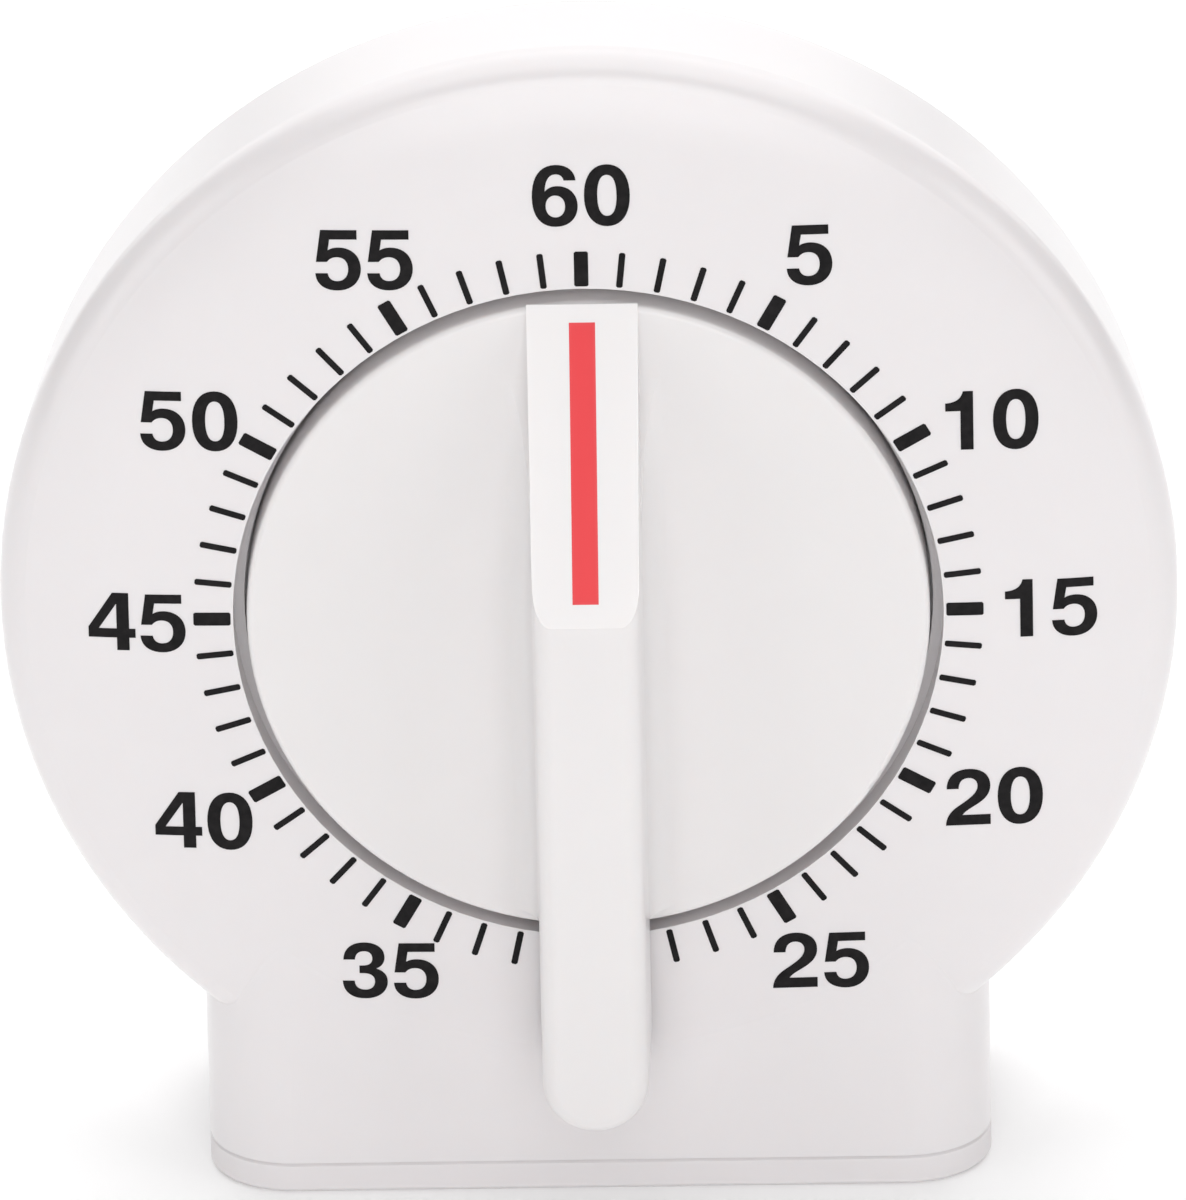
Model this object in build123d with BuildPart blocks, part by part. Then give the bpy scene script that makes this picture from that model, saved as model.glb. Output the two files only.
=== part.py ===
from build123d import *
from math import acos, atan2, cos, degrees, pi, radians, sin, sqrt, tan
import os

# Wind-up kitchen timer. Millimetres, +Z up, the dial faces -Y. The origin is the middle of the
# resting face. "Depth" is measured backwards (+Y) from the dial face at the dial axis.

# Driving dimensions of the case
DRUM_R = 47.5
DRUM_REAR_R = 46.4
SHELL_DEPTH = 17.0
BODY_DEPTH = 34.0
DIAL_Z = 51.8
FACE_R = 39.0
DOME_FALL = 0.6
EDGE_DEPTH = 5.2
SHOULDER_R = 45.4
SHOULDER_DEPTH = 2.05
WALL = 2.0
PEDESTAL_WIDTH = 63.8
PEDESTAL_DEPTH = 30.4
PEDESTAL_CORNER = 7.0
PEDESTAL_TOP = 22.0
BASE_PLATE = 2.7
COVER_R = 45.6
COVER_BACK_R = 38.2
COVER_ROUND = 3.5
SLOT_LONG, SLOT_SHORTER, SLOT_WIDE, SLOT_PITCH = 34.0, 5.0, 2.4, 6.0
BASE_CHAMFER = 0.4
SEAM_CHAMFER = 0.3
# how far the inner skin follows the outer one where the face turns over the shoulder, per mm of wall
SHOULDER_SINK, SHOULDER_PULL, RIM_SINK = 0.75, 0.7, 0.3
DOME_MIDDLE = 0.3

# Knob
WELL_R = 28.6
LEDGE_R = 27.75
LEDGE_DEPTH = 3.2
WELL_FLOOR = 5.6
WELL_FLOOR_REAR = 7.6
DISC_R = 27.5
DISC_FRONT = -0.6
DISC_REAR = 5.0
DISC_SKIN = 2.0
DISC_SKIRT = 2.0
FIN_HEIGHT = 12.2
FIN_RIDGE_WIDTH = 8.5
FIN_DRAFT = 1.0
FIN_ROUND = 1.5
TAIL_END = 41.0
TAIL_UNDERSIDE = -0.4
SLOPE_TOP = 4.3
FLARE = 2.0
STRIPE_WIDTH = 2.1
STRIPE_DEPTH = 0.9
STRIPE_FAR = 26.2
STRIPE_NEAR = 6.0
STRIPE_SUNK = 0.1
HUB_R = 5.0
HUB_REAR = 7.2
STOP_R = 20.5
STOP_LENGTH = 3.0
STOP_WIDTH = 0.94
STOP_ANGLE = -60.0
STOP_SHARE = 3.0
STOP_TOP = 3.0
HUB_GAP = 0.6
HUB_BORE_R = 2.55
HUB_BORE_END = 1.0
HUB_FLAT = 2.3
CLIP_FRONT, CLIP_REAR, CLIP_LIFT, CLIP_BOW = 1.8, 6.8, 1.95, 0.1
CLIP_STRIP, CLIP_WIDTH = 0.3, 2.0
CORE_WIDTH = 4.5
TAIL_CORE, TAIL_CORE_MIDDLE, TAIL_CORE_TOP = 18.0, -15.5, 9.2
SLOPE_CORE, SLOPE_CORE_MIDDLE, SLOPE_CORE_TOP = 9.0, 11.0, 2.6
RIM_ROUND = 0.5
FLARE_ROOT = 0.3
FLARE_LAP = 0.05
FLARE_FADE_START, FLARE_FADE_END = 6.0, 21.0
FLARE_END = 0.9
FIN_FOOT = 50.0
SLOPE_OVERRUN = 1.4

# Movement
FRONT_PLATE = 9.0
BACK_PLATE = 19.6
PLATE = 0.8
PLATE_CORNER_R = 5.0
PILLAR_RING = 28.0
PILLAR_ANGLES = (90, 215, 325)
PILLAR_R = 1.8
STUD_R = 1.1
PIVOT_R = 0.5
PIVOT_GAP = 0.05
PIVOT_END = 0.2
BEARING_GAP = 0.06
MAIN_NECK_R, MAIN_SEAT_R, MAIN_CORE_R, MAIN_PIVOT_R = 2.5, 2.0, 2.4, 1.5
HAMMER_ARBOR_R, HAMMER_PIVOT_R = 1.0, 0.6
SMALL_ARBOR_R = 0.6
SPRING_HOOK_R, SPRING_STUD_R = 0.75, 0.5
HAIR_STUD_R = 0.4
ARBOR_R = 0.8
SHOULDER_GAP = 0.2
PRESSURE_ANGLE = 20.0
BACKLASH = 0.10
WHEEL_ADDENDUM = 0.6
PINION_DEDENDUM = 0.85
WHEEL_DEDENDUM = 1.25
PINION_TEETH = 10
MAIN_TEETH, MAIN_MODULE = 60, 0.45
SECOND_TEETH, SECOND_MODULE = 50, 0.40
THIRD_TEETH, THIRD_MODULE = 48, 0.35
ESCAPE_TEETH, ESCAPE_R = 15, 4.5

# Fasteners, each with its radii and lengths
BOSS_SPOTS = [(24, 24), (-24, 24), (18, -29), (-18, -29)]
BOSS_R = 3.0
COVER_BOSS_R = 4.4
CASE_SHANK_R = 1.3
CASE_SHANK = 12.0
CASE_CLEAR_R = 1.5
CASE_HEAD_R = 2.3
CASE_HEAD_BORE = 2.5
CASE_HEAD = 2.2
CASE_HEAD_SEAT = 22.0
CASE_PILOT_END = 9.5
CROSS_LONG, CROSS_WIDE, CROSS_DEEP = 2.8, 0.6, 1.1
BASE_BOSS_R = 3.5
BASE_BOSS_TALL = 11.0
BASE_SHANK_R = 1.2
BASE_SHANK = 9.0
BASE_PILOT = 8.5
BASE_CLEAR_R = 1.4
BASE_HEAD_R = 2.6
BASE_HEAD = 1.2
BASE_RECESS_R = 2.9
BASE_RECESS = 1.5
BASE_CROSS_LONG, BASE_CROSS_WIDE, BASE_CROSS_DEEP = 3.2, 0.7, 0.6
PLATE_SHANK_R = 1.1
PLATE_CLEAR_R = 1.25
PLATE_HEAD_R = 2.1
PLATE_HEAD = 1.2
PLATE_RECESS_R = 2.3
PLATE_SLOT_WIDE, PLATE_SLOT_DEEP = 0.6, 0.5
NUT_R, NUT_THICK = 2.3, 1.4
STUD_END = 1.8

# Bell
GONG_SPOT = (0, 7)
GONG_R = 20.0
GONG_FRONT, GONG_REAR = 23.0, 29.5
GONG_WALL = 0.8
GONG_ROUND = 3.0
GONG_HOLE_R = 1.4
GONG_STUD_R = 1.2
GONG_POST_REAR = 31.2
GONG_NUT_THICK = 1.4

FACE_Y = -(BODY_DEPTH - FIN_HEIGHT) / 2
DIAL_AXIS = Axis((0, FACE_Y, DIAL_Z), (0, 1, 0))
PROFILE = Plane(origin=(0, FACE_Y, DIAL_Z), x_dir=(0, 1, 0), z_dir=(1, 0, 0))
PEDESTAL_Y = FACE_Y + DOME_FALL + PEDESTAL_DEPTH / 2
BASE_SCREW_SPOTS = [(x, FACE_Y + depth) for x in (-20, 20) for depth in (5.8, 26.0)]


def behind(depth, spot=(0, 0)):
    """Upright plane facing the viewer at a depth behind the dial, centred on a spot (x, z from its axis)."""
    return Plane(origin=(spot[0], FACE_Y + depth, DIAL_Z + spot[1]), x_dir=(1, 0, 0), z_dir=(0, -1, 0))


def polar(radius, angle, centre=(0, 0)):
    """Point at a radius and an angle in degrees from a centre."""
    return (centre[0] + radius * cos(radians(angle)), centre[1] + radius * sin(radians(angle)))


def bearing(start, end):
    """Direction in degrees from one spot to another."""
    return degrees(atan2(end[1] - start[1], end[0] - start[0]))


def drum_face(inset):
    """Half section of the drum from its axis to the parting plane, set in from the outside by a wall."""
    with BuildSketch() as section:
        with BuildLine():
            Line((inset, 0), (inset, WELL_R))
            dome = ThreePointArc(
                (inset, WELL_R),
                (inset + DOME_FALL * DOME_MIDDLE, (WELL_R + FACE_R) / 2),
                (inset + DOME_FALL, FACE_R),
            )
            shoulder = (SHOULDER_DEPTH + inset * SHOULDER_SINK, SHOULDER_R - inset * SHOULDER_PULL)
            rim = (EDGE_DEPTH + inset * RIM_SINK, DRUM_R - inset)
            rear = (SHELL_DEPTH, DRUM_REAR_R - inset)
            turn = TangentArc(dome @ 1, shoulder, tangent=dome % 1)
            TangentArc(shoulder, rim, tangent=turn % 1)
            Line(rim, rear)
            Line(rear, (SHELL_DEPTH, 0))
            Line((SHELL_DEPTH, 0), (inset, 0))
        make_face()
    return section.sketch


def cover_face(inset):
    """Half section of the rear cover: a taper to a flat back with a rounded edge."""
    back = BODY_DEPTH - inset
    with BuildSketch() as section:
        with BuildLine():
            FilletPolyline(
                (SHELL_DEPTH, COVER_R - inset),
                (back, COVER_BACK_R - inset),
                (back, 0),
                radius=COVER_ROUND - inset,
            )
            Polyline((back, 0), (SHELL_DEPTH, 0), (SHELL_DEPTH, COVER_R - inset))
        make_face()
    return section.sketch


def pedestal_plan(inset):
    """Plan of the pedestal, a rectangle with rounded corners."""
    with BuildSketch() as plan:
        RectangleRounded(PEDESTAL_WIDTH - 2 * inset, PEDESTAL_DEPTH - 2 * inset, PEDESTAL_CORNER - inset)
    return plan.sketch


def gear_face(teeth, module, addendum, first_tooth):
    """Involute gear outline with one tooth centred on the first_tooth angle."""
    pitch_r = module * teeth / 2
    base_r = pitch_r * cos(radians(PRESSURE_ANGLE))
    tip_r = pitch_r + addendum * module
    root_r = pitch_r - (WHEEL_DEDENDUM if teeth > PINION_TEETH else PINION_DEDENDUM) * module
    start_r = max(base_r, root_r)
    involute_at_pitch = tan(radians(PRESSURE_ANGLE)) - radians(PRESSURE_ANGLE)
    half_tooth = (pi * module / 2 - BACKLASH / 2) / (2 * pitch_r)

    def flank(radius):
        angle = acos(min(1, base_r / radius))
        return degrees(half_tooth + involute_at_pitch - (tan(angle) - angle))

    pitch = 360 / teeth
    with BuildSketch() as outline:
        with BuildLine():
            for n in range(teeth):
                middle = first_tooth + n * pitch
                low, high = flank(start_r), flank(tip_r)
                half = flank((start_r + tip_r) / 2)
                rise = ThreePointArc(
                    polar(start_r, middle - low),
                    polar((start_r + tip_r) / 2, middle - half),
                    polar(tip_r, middle - high),
                )
                Line(rise @ 1, polar(tip_r, middle + high))
                fall = ThreePointArc(
                    polar(tip_r, middle + high),
                    polar((start_r + tip_r) / 2, middle + half),
                    polar(start_r, middle + low),
                )
                valley_start = fall @ 1
                valley_end = polar(start_r, middle + pitch - low)
                if start_r > root_r:
                    foot, toe = polar(root_r, middle + low), polar(root_r, middle + pitch - low)
                    Polyline(valley_start, foot, toe, valley_end)
                else:
                    Line(valley_start, valley_end)
        make_face()
    return outline.sketch


def spiral_face(inner_r, outer_r, turns, strip, start_angle):
    """Flat spiral strip of half-circle arcs about two centres."""
    step = (outer_r - inner_r) / (2 * turns)
    with BuildSketch() as spring:
        with BuildLine(mode=Mode.PRIVATE) as path:
            for n in range(2 * turns):
                CenterArc(((n % 2) * step, 0), inner_r + n * step, 180 * (n % 2), 180)
        trace(path.line.edges(), line_width=strip)
    return spring.sketch.rotate(Axis.Z, start_angle)


# ---------------------------------------------------------------- places of the arbors
MAIN_SPOT = (0, 0)
SECOND_SPOT = (-(MAIN_TEETH + PINION_TEETH) * MAIN_MODULE / 2, 0)
THIRD_SPOT = polar((SECOND_TEETH + PINION_TEETH) * SECOND_MODULE / 2, -70, SECOND_SPOT)
ESCAPE_SPOT = polar((THIRD_TEETH + PINION_TEETH) * THIRD_MODULE / 2, -30, THIRD_SPOT)
PALLET_SPOT = (3.6, -16.6)
BALANCE_SPOT = (12.5, -15.5)
HAMMER_SPOT = (11.5, 10.5)
HAMMER_NOSE = polar(5.3, -27.7)
HAMMER_HEAD = polar(16.2, 120, GONG_SPOT)
SPRING_POST = polar(10.35, 105)
STUD_SPOT = (BALANCE_SPOT[0] + 5.4, BALANCE_SPOT[1])
SCREW_SPOTS = [polar(16, angle) for angle in (90, 210, 330)]
PILLAR_SPOTS = [polar(PILLAR_RING, angle) for angle in PILLAR_ANGLES]
BACK_PLATE_REAR = BACK_PLATE + PLATE
FRONT_PLATE_REAR = FRONT_PLATE + PLATE

# ---------------------------------------------------------------- case
with BuildPart() as front_cavity:
    with BuildSketch(PROFILE):
        add(drum_face(WALL))
    revolve(axis=DIAL_AXIS)
    with BuildSketch(Plane(origin=(0, PEDESTAL_Y, BASE_PLATE))):
        add(pedestal_plan(WALL))
    extrude(amount=DIAL_Z - PEDESTAL_TOP - 2 * WALL - BASE_PLATE)
    with BuildSketch(behind(WELL_FLOOR_REAR)):
        Circle(WELL_R + WALL)
    extrude(amount=WELL_FLOOR_REAR, mode=Mode.SUBTRACT)
    with BuildSketch(behind(SHELL_DEPTH)):
        with Locations(*BOSS_SPOTS):
            Circle(BOSS_R)
    extrude(amount=SHELL_DEPTH, mode=Mode.SUBTRACT)
    with BuildSketch(behind(FRONT_PLATE)):
        with Locations(*SCREW_SPOTS):
            Circle(BOSS_R)
    extrude(amount=FRONT_PLATE - WELL_FLOOR, mode=Mode.SUBTRACT)
    with BuildSketch(Plane.XY.offset(BASE_PLATE)):
        with Locations(*BASE_SCREW_SPOTS):
            Circle(BASE_BOSS_R)
    extrude(amount=BASE_BOSS_TALL, mode=Mode.SUBTRACT)

with BuildPart() as front_shell:
    with BuildSketch(PROFILE):
        add(drum_face(0))
    revolve(axis=DIAL_AXIS)
    with BuildSketch(Plane(origin=(0, PEDESTAL_Y, BASE_PLATE))):
        add(pedestal_plan(0))
    extrude(amount=DIAL_Z - PEDESTAL_TOP - BASE_PLATE)
    add(front_cavity.part, mode=Mode.SUBTRACT)
    # well for the knob, with a ledge round its wall
    with BuildSketch(behind(LEDGE_DEPTH)):
        Circle(WELL_R)
    extrude(amount=LEDGE_DEPTH, mode=Mode.SUBTRACT)
    with BuildSketch(behind(WELL_FLOOR)):
        Circle(LEDGE_R)
        with Locations(polar(STOP_R, STOP_ANGLE)):
            Rectangle(STOP_LENGTH, STOP_WIDTH, rotation=STOP_ANGLE, mode=Mode.SUBTRACT)
    extrude(amount=WELL_FLOOR, mode=Mode.SUBTRACT)
    # the fixed stop is lower than the well is deep
    with BuildSketch(behind(STOP_TOP)):
        Circle(LEDGE_R)
    extrude(amount=STOP_TOP, mode=Mode.SUBTRACT)
    with BuildSketch(behind(WELL_FLOOR_REAR)):
        Circle(HUB_R + HUB_GAP)
    extrude(amount=WELL_FLOOR_REAR, mode=Mode.SUBTRACT)
    with BuildSketch(behind(FRONT_PLATE)):
        with Locations(*SCREW_SPOTS):
            Circle(PLATE_CLEAR_R)
    extrude(amount=FRONT_PLATE, mode=Mode.SUBTRACT)
    with BuildSketch(behind(WELL_FLOOR + PLATE_HEAD)):
        with Locations(*SCREW_SPOTS):
            Circle(PLATE_RECESS_R)
    extrude(amount=PLATE_HEAD, mode=Mode.SUBTRACT)
    with BuildSketch(behind(SHELL_DEPTH)):
        with Locations(*BOSS_SPOTS):
            Circle(CASE_SHANK_R)
    extrude(amount=SHELL_DEPTH - CASE_PILOT_END, mode=Mode.SUBTRACT)
    with BuildSketch(Plane.XY.offset(BASE_PLATE)):
        with Locations(*BASE_SCREW_SPOTS):
            Circle(BASE_SHANK_R)
    extrude(amount=BASE_PILOT, mode=Mode.SUBTRACT)
    split(bisect_by=behind(SHELL_DEPTH), keep=Keep.TOP)

with BuildPart() as cover_cavity:
    with BuildSketch(PROFILE):
        add(cover_face(WALL))
    revolve(axis=DIAL_AXIS)
    with BuildSketch(Plane(origin=(0, PEDESTAL_Y, BASE_PLATE))):
        add(pedestal_plan(WALL))
    extrude(amount=DIAL_Z - PEDESTAL_TOP - 2 * WALL - BASE_PLATE)
    with BuildSketch(behind(SHELL_DEPTH)):
        with Locations(*BOSS_SPOTS):
            Circle(COVER_BOSS_R)
    extrude(amount=-(BODY_DEPTH - SHELL_DEPTH), mode=Mode.SUBTRACT)
    with BuildSketch(Plane.XY.offset(BASE_PLATE)):
        with Locations(*BASE_SCREW_SPOTS):
            Circle(BASE_BOSS_R)
    extrude(amount=BASE_BOSS_TALL, mode=Mode.SUBTRACT)

with BuildPart() as rear_cover:
    with BuildSketch(PROFILE):
        add(cover_face(0))
    revolve(axis=DIAL_AXIS)
    with BuildSketch(Plane(origin=(0, PEDESTAL_Y, BASE_PLATE))):
        add(pedestal_plan(0))
    extrude(amount=DIAL_Z - PEDESTAL_TOP - BASE_PLATE)
    add(cover_cavity.part, mode=Mode.SUBTRACT)
    with BuildSketch(behind(BODY_DEPTH)):
        with Locations(*BOSS_SPOTS):
            Circle(CASE_HEAD_BORE)
    extrude(amount=BODY_DEPTH - CASE_HEAD_SEAT, mode=Mode.SUBTRACT)
    with BuildSketch(behind(BODY_DEPTH)):
        with Locations(*BOSS_SPOTS):
            Circle(CASE_CLEAR_R)
    extrude(amount=BODY_DEPTH - SHELL_DEPTH, mode=Mode.SUBTRACT)
    with BuildSketch(Plane.XY.offset(BASE_PLATE)):
        with Locations(*BASE_SCREW_SPOTS):
            Circle(BASE_SHANK_R)
    extrude(amount=BASE_PILOT, mode=Mode.SUBTRACT)
    # sound slots in front of the bell, shorter towards the top and the bottom
    with BuildSketch(behind(BODY_DEPTH)):
        for row in range(-2, 3):
            with Locations((GONG_SPOT[0], GONG_SPOT[1] + SLOT_PITCH * row)):
                SlotOverall(SLOT_LONG - SLOT_SHORTER * abs(row), SLOT_WIDE)
    extrude(amount=WALL, mode=Mode.SUBTRACT)
    split(bisect_by=behind(SHELL_DEPTH), keep=Keep.BOTTOM)

with BuildPart() as base_plate:
    with BuildSketch(Plane(origin=(0, PEDESTAL_Y, 0))):
        add(pedestal_plan(0))
    extrude(amount=BASE_PLATE)
    with BuildSketch(Plane.XY):
        with Locations(*BASE_SCREW_SPOTS):
            Circle(BASE_RECESS_R)
    extrude(amount=BASE_RECESS, mode=Mode.SUBTRACT)
    with BuildSketch(Plane.XY):
        with Locations(*BASE_SCREW_SPOTS):
            Circle(BASE_CLEAR_R)
    extrude(amount=BASE_PLATE, mode=Mode.SUBTRACT)
    bottom_rim = base_plate.faces().sort_by(Axis.Z)[0].outer_wire().edges()
    chamfer(bottom_rim, length=BASE_CHAMFER)
    top_rim = base_plate.faces().sort_by(Axis.Z)[-1].outer_wire().edges()
    chamfer(top_rim, length=SEAM_CHAMFER)

with BuildPart() as case_screws:
    with BuildSketch(behind(CASE_HEAD_SEAT)):
        with Locations(*BOSS_SPOTS):
            Circle(CASE_SHANK_R)
    extrude(amount=CASE_SHANK)
    with BuildSketch(behind(CASE_HEAD_SEAT + CASE_HEAD)):
        with Locations(*BOSS_SPOTS):
            Circle(CASE_HEAD_R)
    extrude(amount=CASE_HEAD)
    with BuildSketch(behind(CASE_HEAD_SEAT + CASE_HEAD)):
        with Locations(*BOSS_SPOTS):
            Rectangle(CROSS_LONG, CROSS_WIDE)
            Rectangle(CROSS_WIDE, CROSS_LONG)
    extrude(amount=CROSS_DEEP, mode=Mode.SUBTRACT)

with BuildPart() as base_screws:
    with BuildSketch(Plane.XY.offset(BASE_RECESS - BASE_HEAD)):
        with Locations(*BASE_SCREW_SPOTS):
            Circle(BASE_HEAD_R)
    extrude(amount=BASE_HEAD)
    with BuildSketch(Plane.XY.offset(BASE_RECESS)):
        with Locations(*BASE_SCREW_SPOTS):
            Circle(BASE_SHANK_R)
    extrude(amount=BASE_SHANK)
    with BuildSketch(Plane.XY.offset(BASE_RECESS - BASE_HEAD)):
        with Locations(*BASE_SCREW_SPOTS):
            Rectangle(BASE_CROSS_LONG, BASE_CROSS_WIDE)
            Rectangle(BASE_CROSS_WIDE, BASE_CROSS_LONG)
    extrude(amount=BASE_CROSS_DEEP, mode=Mode.SUBTRACT)

# ---------------------------------------------------------------- knob
slope_run = DISC_R - SLOPE_TOP
slope_rise = FIN_HEIGHT + DISC_FRONT
slope_length = sqrt(slope_run**2 + slope_rise**2)
SLOPE = Plane(
    origin=(0, FACE_Y + DISC_FRONT, DIAL_Z + DISC_R),
    x_dir=(1, 0, 0),
    z_dir=(0, -slope_run, slope_rise),
)
stripe_start = (DISC_R - STRIPE_FAR) / slope_run * slope_length
stripe_length = (STRIPE_FAR - STRIPE_NEAR) / slope_run * slope_length
STRIPE_SPOT = (0, -stripe_start - stripe_length / 2)
fin_base_width = FIN_RIDGE_WIDTH + 2 * FIN_HEIGHT * tan(radians(FIN_DRAFT))

with BuildPart() as flare:
    # concave foot along both sides of the fin, ending at the rim of the disc
    with BuildSketch(Plane(origin=(0, FACE_Y + DISC_FRONT, DIAL_Z))):
        for side in (-1, 1):
            with BuildLine():
                inner = side * (fin_base_width / 2 - FLARE_ROOT)
                edge = side * (fin_base_width / 2 - FLARE_LAP)
                outer = edge + side * FLARE
                lift = FLARE * (1 - sin(radians(45)))
                Line((outer, FLARE_ROOT), (inner, FLARE_ROOT))
                Line((inner, FLARE_ROOT), (inner, -FLARE))
                Line((inner, -FLARE), (edge, -FLARE))
                ThreePointArc((edge, -FLARE), (edge + side * lift, -lift), (outer, 0))
                Line((outer, 0), (outer, FLARE_ROOT))
            make_face()
    extrude(amount=DISC_R, both=True)
    with BuildSketch(behind(DISC_REAR)):
        Circle(DISC_R - FLARE_END)
    extrude(amount=DISC_REAR + FIN_HEIGHT, mode=Mode.INTERSECT)
    # the foot fades out before it meets the slope
    with BuildSketch(PROFILE):
        with BuildLine():
            crest = DISC_FRONT - FLARE
            Polyline(
                (DISC_FRONT, FLARE_FADE_END), (crest, FLARE_FADE_START), (crest, DISC_R),
                (DISC_FRONT, DISC_R), close=True,
            )
        make_face()
    extrude(amount=DISC_R, both=True, mode=Mode.SUBTRACT)

with BuildPart() as fin:
    # ridge across the disc that runs on as the rounded tail
    tail_middle = -TAIL_END + fin_base_width / 2
    with BuildSketch(behind(TAIL_UNDERSIDE)):
        with Locations((0, (DISC_R + tail_middle) / 2)):
            Rectangle(fin_base_width, DISC_R - tail_middle)
        with Locations((0, tail_middle)):
            Circle(fin_base_width / 2)
    extrude(amount=FIN_HEIGHT + TAIL_UNDERSIDE, taper=FIN_DRAFT)
    ridge = fin.faces().sort_by(Axis.Y)[0].edges()
    fillet(ridge, radius=FIN_ROUND)

with BuildPart() as knob:
    with BuildSketch(behind(DISC_REAR)):
        Circle(DISC_R)
    extrude(amount=DISC_REAR - DISC_FRONT)
    fillet(knob.faces().sort_by(Axis.Y)[0].edges(), radius=RIM_ROUND)
    add(fin.part)
    # fills the fin's foot down to the back of the disc's skin
    with BuildSketch(behind(DISC_SKIN)):
        with Locations((0, -RIM_ROUND)):
            Rectangle(fin_base_width, FIN_FOOT)
    extrude(amount=DISC_SKIN - TAIL_UNDERSIDE)
    add(flare.part)
    # sloping front of the fin
    with BuildSketch(PROFILE):
        with BuildLine():
            top = (DISC_FRONT - SLOPE_OVERRUN * slope_rise, DISC_R - SLOPE_OVERRUN * slope_run)
            clear = DISC_R + FIN_ROUND
            Polyline((DISC_FRONT, DISC_R), top, (top[0], clear), (DISC_FRONT, clear), close=True)
        make_face()
    extrude(amount=DISC_R, both=True, mode=Mode.SUBTRACT)
    with BuildSketch(SLOPE):
        with Locations(STRIPE_SPOT):
            Rectangle(STRIPE_WIDTH, stripe_length)
    extrude(amount=-STRIPE_DEPTH, mode=Mode.SUBTRACT)
    # hollow behind the disc, with the moving stop left standing beside the fixed one
    with BuildSketch(behind(DISC_REAR)):
        Circle(DISC_R - DISC_SKIRT)
        Circle(HUB_R, mode=Mode.SUBTRACT)
        with Locations(polar(STOP_R, STOP_ANGLE - STOP_SHARE)):
            Rectangle(
                STOP_LENGTH, STOP_WIDTH, rotation=STOP_ANGLE - STOP_SHARE, mode=Mode.SUBTRACT
            )
    extrude(amount=DISC_REAR - DISC_SKIN, mode=Mode.SUBTRACT)
    with BuildSketch(behind(HUB_REAR)):
        Circle(HUB_R)
    extrude(amount=HUB_REAR - DISC_SKIN)
    with BuildSketch(behind(HUB_REAR)):
        Circle(HUB_BORE_R)
        with Locations((0, HUB_FLAT)):
            Rectangle(HUB_R, HUB_R, align=(Align.CENTER, Align.MIN), mode=Mode.SUBTRACT)
    extrude(amount=HUB_REAR - HUB_BORE_END, mode=Mode.SUBTRACT)
    # cores under the ridge
    with BuildSketch(behind(DISC_SKIN)):
        with Locations((0, TAIL_CORE_MIDDLE)):
            Rectangle(CORE_WIDTH, TAIL_CORE)
    extrude(amount=DISC_SKIN + TAIL_CORE_TOP, mode=Mode.SUBTRACT)
    with BuildSketch(behind(DISC_SKIN)):
        with Locations((0, SLOPE_CORE_MIDDLE)):
            Rectangle(CORE_WIDTH, SLOPE_CORE)
    extrude(amount=DISC_SKIN + SLOPE_CORE_TOP, mode=Mode.SUBTRACT)

with BuildPart() as pointer_stripe:
    with BuildSketch(SLOPE.offset(-STRIPE_DEPTH)):
        with Locations(STRIPE_SPOT):
            Rectangle(STRIPE_WIDTH, stripe_length)
    extrude(amount=STRIPE_DEPTH - STRIPE_SUNK)

with BuildPart() as knob_clip:
    with BuildSketch(PROFILE):
        with BuildLine(mode=Mode.PRIVATE) as bow:
            ThreePointArc((CLIP_FRONT, CLIP_LIFT), (4.2, CLIP_LIFT + CLIP_BOW), (CLIP_REAR, CLIP_LIFT))
        trace(bow.line.edges(), line_width=CLIP_STRIP)
    extrude(amount=CLIP_WIDTH / 2, both=True)

# ---------------------------------------------------------------- frame of the movement
def plate_face(holes):
    """Movement plate: the hull of its three pillar corners, with round holes given as (spot, radius)."""
    with BuildSketch() as plate:
        with Locations(*PILLAR_SPOTS):
            Circle(PLATE_CORNER_R)
        make_hull(plate.edges())
        for spot, radius in holes:
            with Locations(spot):
                Circle(radius, mode=Mode.SUBTRACT)
    return plate.sketch


TRAIN_SPOTS = [SECOND_SPOT, THIRD_SPOT, ESCAPE_SPOT, PALLET_SPOT, BALANCE_SPOT]
pivot_holes = [(spot, PIVOT_R + PIVOT_GAP) for spot in TRAIN_SPOTS]
stud_holes = [(spot, STUD_R) for spot in PILLAR_SPOTS]

with BuildPart() as front_plate:
    with BuildSketch(behind(FRONT_PLATE_REAR)):
        screw_holes = [(spot, PLATE_SHANK_R) for spot in SCREW_SPOTS]
        own_holes = [(MAIN_SPOT, MAIN_NECK_R + BEARING_GAP), (HAMMER_SPOT, HAMMER_PIVOT_R + PIVOT_GAP)]
        add(plate_face(pivot_holes + stud_holes + screw_holes + own_holes))
    extrude(amount=PLATE)

with BuildPart() as back_plate:
    with BuildSketch(behind(BACK_PLATE_REAR)):
        own_holes = [
            (MAIN_SPOT, MAIN_PIVOT_R + BEARING_GAP),
            (HAMMER_SPOT, HAMMER_ARBOR_R + PIVOT_GAP),
            (GONG_SPOT, GONG_STUD_R),
            (SPRING_POST, SPRING_STUD_R),
            (STUD_SPOT, HAIR_STUD_R),
        ]
        add(plate_face(pivot_holes + stud_holes + own_holes))
    extrude(amount=PLATE)

with BuildPart() as plate_pillars:
    with BuildSketch(behind(BACK_PLATE)):
        with Locations(*PILLAR_SPOTS):
            Circle(PILLAR_R)
    extrude(amount=BACK_PLATE - FRONT_PLATE_REAR)
    with BuildSketch(behind(BACK_PLATE_REAR + STUD_END)):
        with Locations(*PILLAR_SPOTS):
            Circle(STUD_R)
    extrude(amount=BACK_PLATE_REAR + STUD_END - FRONT_PLATE)

with BuildPart() as pillar_nuts:
    with BuildSketch(behind(BACK_PLATE_REAR + NUT_THICK)):
        with Locations(*PILLAR_SPOTS):
            RegularPolygon(NUT_R, 6)
            Circle(STUD_R, mode=Mode.SUBTRACT)
    extrude(amount=NUT_THICK)

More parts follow.
